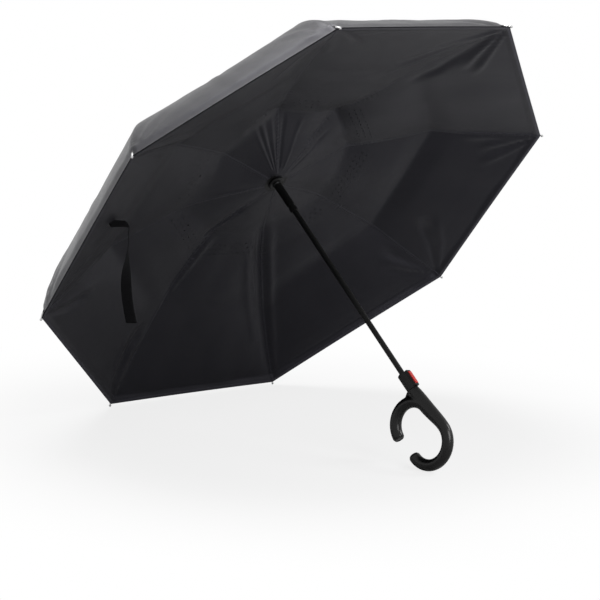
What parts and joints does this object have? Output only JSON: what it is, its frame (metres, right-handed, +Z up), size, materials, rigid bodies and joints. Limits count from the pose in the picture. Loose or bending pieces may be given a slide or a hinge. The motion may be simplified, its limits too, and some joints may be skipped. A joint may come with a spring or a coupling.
{
  "type": "umbrella",
  "caption": "Open reverse-folding stick umbrella with two cloth layers, ribs on a sliding runner, and a C-shaped handle with a push button.",
  "frame": {"origin": "on the floor, below the centre of the umbrella's bounds as it lies open on two rib tips and the bend of the handle", "axes": "+Z is up from the floor; the shaft rises from the handle towards +Y and the crown; +X is level, along the edge between the two rib tips on the floor"},
  "size_m": [0.9838, 0.7558, 0.7736],
  "materials": {
    "black_steel": "semi-gloss black paint",
    "black_plastic": "fine matt black",
    "grip_black": "semi-gloss black, smooth to the hand",
    "bright_steel": "bright steel",
    "rib_steel": "black-grey coated steel",
    "rod_fibre": "black glass-fibre rod",
    "outer_cloth": "plain woven black cloth with a satin sheen",
    "inner_cloth": "plain woven black cloth",
    "button_red": "gloss red"
  },
  "bodies": {
    "shaft": {"shaft_tube": "black_steel", "crown_hub": "black_plastic", "crown_ring": "bright_steel", "crown_washer": "black_plastic", "top_cap": "black_plastic", "spring_seat": "black_plastic", "opening_spring": "bright_steel", "outer_canopy": "outer_cloth", "handle_collar": "black_plastic", "handle_shell_left": "grip_black", "handle_shell_right": "grip_black", "button_pin": "bright_steel", "button_spring": "bright_steel"},
    "runner": {"runner": "black_plastic", "runner_ring": "bright_steel", "hub_cap": "black_plastic", "spring_slider": "black_plastic", "inner_canopy": "inner_cloth"},
    "button": {"release_button": "button_red"},
    "rib_1": {"rib_1": "rib_steel"},
    "strut_1": {"strut_1": "rib_steel"},
    "outer_rod_1": {"rod_1": "rod_fibre", "tip_1": "bright_steel"},
    "rib_2": {"rib_2": "rib_steel"},
    "strut_2": {"strut_2": "rib_steel"},
    "outer_rod_2": {"rod_2": "rod_fibre", "tip_2": "bright_steel"},
    "rib_3": {"rib_3": "rib_steel"},
    "strut_3": {"strut_3": "rib_steel"},
    "outer_rod_3": {"rod_3": "rod_fibre", "tip_3": "bright_steel"},
    "rib_4": {"rib_4": "rib_steel"},
    "strut_4": {"strut_4": "rib_steel"},
    "outer_rod_4": {"rod_4": "rod_fibre", "tip_4": "bright_steel"},
    "rib_5": {"rib_5": "rib_steel"},
    "strut_5": {"strut_5": "rib_steel"},
    "outer_rod_5": {"rod_5": "rod_fibre", "tip_5": "bright_steel"},
    "rib_6": {"rib_6": "rib_steel"},
    "strut_6": {"strut_6": "rib_steel"},
    "outer_rod_6": {"rod_6": "rod_fibre", "tip_6": "bright_steel"},
    "rib_7": {"rib_7": "rib_steel"},
    "strut_7": {"strut_7": "rib_steel"},
    "outer_rod_7": {"rod_7": "rod_fibre", "tip_7": "bright_steel", "tie_strap": "inner_cloth"},
    "rib_8": {"rib_8": "rib_steel"},
    "strut_8": {"strut_8": "rib_steel"},
    "outer_rod_8": {"rod_8": "rod_fibre", "tip_8": "bright_steel"}
  },
  "joints": [
    {"name": "runner_slide", "type": "slide", "parent": "shaft", "child": "runner", "axis": [0, -0.7814, -0.624], "range_m": [0, 0.4205], "deforming": ["outer_canopy", "inner_canopy", "tie_strap", "opening_spring"]},
    {"name": "button_rock", "type": "hinge", "parent": "shaft", "child": "button", "pos_m": [0.00235, -0.26509, 0.15403], "axis": [0.9799, 0.1244, -0.1558], "range_deg": [0, 8], "stiffness_Nm_per_rad": 0.06, "springref_deg": -8.59, "deforming": ["button_spring"]},
    {"name": "rib_1_hinge", "type": "hinge", "parent": "runner", "child": "rib_1", "pos_m": [0.00765, 0.1174, 0.4683], "axis": [-0.9239, -0.2388, 0.299], "range_deg": [0, 70.65]},
    {"name": "strut_1_hinge", "type": "hinge", "parent": "shaft", "child": "strut_1", "pos_m": [0.01077, 0.17468, 0.51196], "axis": [-0.9239, -0.2388, 0.299], "range_deg": [-77.93, 0]},
    {"name": "elbow_1_hinge", "type": "hinge", "parent": "rib_1", "child": "outer_rod_1", "pos_m": [0.10141, 0.01709, 0.67786], "axis": [-0.9239, -0.2388, 0.299], "range_deg": [0, 43.57]},
    {"name": "rib_2_hinge", "type": "hinge", "parent": "runner", "child": "rib_2", "pos_m": [0.01848, 0.12416, 0.45985], "axis": [-0.3827, -0.5765, 0.722], "range_deg": [0, 70.65]},
    {"name": "strut_2_hinge", "type": "hinge", "parent": "shaft", "child": "strut_2", "pos_m": [0.01953, 0.18251, 0.50215], "axis": [-0.3827, -0.5765, 0.722], "range_deg": [-77.93, 0]},
    {"name": "elbow_2_hinge", "type": "hinge", "parent": "rib_2", "child": "outer_rod_2", "pos_m": [0.24483, 0.10658, 0.56579], "axis": [-0.3827, -0.5765, 0.722], "range_deg": [0, 43.57]},
    {"name": "rib_3_hinge", "type": "hinge", "parent": "runner", "child": "rib_3", "pos_m": [0.01848, 0.13371, 0.44788], "axis": [0.3827, -0.5765, 0.722], "range_deg": [0, 70.65]},
    {"name": "strut_3_hinge", "type": "hinge", "parent": "shaft", "child": "strut_3", "pos_m": [0.01685, 0.19191, 0.49038], "axis": [0.3827, -0.5765, 0.722], "range_deg": [-77.93, 0]},
    {"name": "elbow_3_hinge", "type": "hinge", "parent": "rib_3", "child": "outer_rod_3", "pos_m": [0.24483, 0.23314, 0.4073], "axis": [0.3827, -0.5765, 0.722], "range_deg": [0, 43.57]},
    {"name": "rib_4_hinge", "type": "hinge", "parent": "runner", "child": "rib_4", "pos_m": [0.00765, 0.14046, 0.43943], "axis": [0.9239, -0.2388, 0.299], "range_deg": [0, 70.65]},
    {"name": "strut_4_hinge", "type": "hinge", "parent": "shaft", "child": "strut_4", "pos_m": [0.0043, 0.19738, 0.48353], "axis": [0.9239, -0.2388, 0.299], "range_deg": [-77.93, 0]},
    {"name": "elbow_4_hinge", "type": "hinge", "parent": "rib_4", "child": "outer_rod_4", "pos_m": [0.10141, 0.32263, 0.29523], "axis": [0.9239, -0.2388, 0.299], "range_deg": [0, 43.57]},
    {"name": "rib_5_hinge", "type": "hinge", "parent": "runner", "child": "rib_5", "pos_m": [-0.00765, 0.14046, 0.43943], "axis": [0.9239, 0.2388, -0.299], "range_deg": [0, 70.65]},
    {"name": "strut_5_hinge", "type": "hinge", "parent": "shaft", "child": "strut_5", "pos_m": [-0.01077, 0.19571, 0.48562], "axis": [0.9239, 0.2388, -0.299], "range_deg": [-77.93, 0]},
    {"name": "elbow_5_hinge", "type": "hinge", "parent": "rib_5", "child": "outer_rod_5", "pos_m": [-0.10141, 0.32263, 0.29523], "axis": [0.9239, 0.2388, -0.299], "range_deg": [0, 43.57]},
    {"name": "rib_6_hinge", "type": "hinge", "parent": "runner", "child": "rib_6", "pos_m": [-0.01848, 0.13371, 0.44788], "axis": [0.3827, 0.5765, -0.722], "range_deg": [0, 70.65]},
    {"name": "strut_6_hinge", "type": "hinge", "parent": "shaft", "child": "strut_6", "pos_m": [-0.01953, 0.18788, 0.49543], "axis": [0.3827, 0.5765, -0.722], "range_deg": [-77.93, 0]},
    {"name": "elbow_6_hinge", "type": "hinge", "parent": "rib_6", "child": "outer_rod_6", "pos_m": [-0.24483, 0.23314, 0.4073], "axis": [0.3827, 0.5765, -0.722], "range_deg": [0, 43.57]},
    {"name": "rib_7_hinge", "type": "hinge", "parent": "runner", "child": "rib_7", "pos_m": [-0.01848, 0.12416, 0.45985], "axis": [-0.3827, 0.5765, -0.722], "range_deg": [0, 70.65]},
    {"name": "strut_7_hinge", "type": "hinge", "parent": "shaft", "child": "strut_7", "pos_m": [-0.01685, 0.17847, 0.50721], "axis": [-0.3827, 0.5765, -0.722], "range_deg": [-77.93, 0]},
    {"name": "elbow_7_hinge", "type": "hinge", "parent": "rib_7", "child": "outer_rod_7", "pos_m": [-0.24483, 0.10658, 0.56579], "axis": [-0.3827, 0.5765, -0.722], "range_deg": [0, 43.57]},
    {"name": "rib_8_hinge", "type": "hinge", "parent": "runner", "child": "rib_8", "pos_m": [-0.00765, 0.1174, 0.4683], "axis": [-0.9239, 0.2388, -0.299], "range_deg": [0, 70.65]},
    {"name": "strut_8_hinge", "type": "hinge", "parent": "shaft", "child": "strut_8", "pos_m": [-0.0043, 0.17301, 0.51405], "axis": [-0.9239, 0.2388, -0.299], "range_deg": [-77.93, 0]},
    {"name": "elbow_8_hinge", "type": "hinge", "parent": "rib_8", "child": "outer_rod_8", "pos_m": [-0.10141, 0.01709, 0.67786], "axis": [-0.9239, 0.2388, -0.299], "range_deg": [0, 43.57]}
  ],
  "couplings": [
    {"joint": "rib_1_hinge", "follows": "runner_slide", "rad_per_m": 2.9321},
    {"joint": "strut_1_hinge", "follows": "runner_slide", "rad_per_m": -3.2345},
    {"joint": "elbow_1_hinge", "follows": "runner_slide", "rad_per_m": 1.8081},
    {"joint": "rib_2_hinge", "follows": "runner_slide", "rad_per_m": 2.9321},
    {"joint": "strut_2_hinge", "follows": "runner_slide", "rad_per_m": -3.2345},
    {"joint": "elbow_2_hinge", "follows": "runner_slide", "rad_per_m": 1.8081},
    {"joint": "rib_3_hinge", "follows": "runner_slide", "rad_per_m": 2.9321},
    {"joint": "strut_3_hinge", "follows": "runner_slide", "rad_per_m": -3.2345},
    {"joint": "elbow_3_hinge", "follows": "runner_slide", "rad_per_m": 1.8081},
    {"joint": "rib_4_hinge", "follows": "runner_slide", "rad_per_m": 2.9321},
    {"joint": "strut_4_hinge", "follows": "runner_slide", "rad_per_m": -3.2345},
    {"joint": "elbow_4_hinge", "follows": "runner_slide", "rad_per_m": 1.8081},
    {"joint": "rib_5_hinge", "follows": "runner_slide", "rad_per_m": 2.9321},
    {"joint": "strut_5_hinge", "follows": "runner_slide", "rad_per_m": -3.2345},
    {"joint": "elbow_5_hinge", "follows": "runner_slide", "rad_per_m": 1.8081},
    {"joint": "rib_6_hinge", "follows": "runner_slide", "rad_per_m": 2.9321},
    {"joint": "strut_6_hinge", "follows": "runner_slide", "rad_per_m": -3.2345},
    {"joint": "elbow_6_hinge", "follows": "runner_slide", "rad_per_m": 1.8081},
    {"joint": "rib_7_hinge", "follows": "runner_slide", "rad_per_m": 2.9321},
    {"joint": "strut_7_hinge", "follows": "runner_slide", "rad_per_m": -3.2345},
    {"joint": "elbow_7_hinge", "follows": "runner_slide", "rad_per_m": 1.8081},
    {"joint": "rib_8_hinge", "follows": "runner_slide", "rad_per_m": 2.9321},
    {"joint": "strut_8_hinge", "follows": "runner_slide", "rad_per_m": -3.2345},
    {"joint": "elbow_8_hinge", "follows": "runner_slide", "rad_per_m": 1.8081}
  ]
}
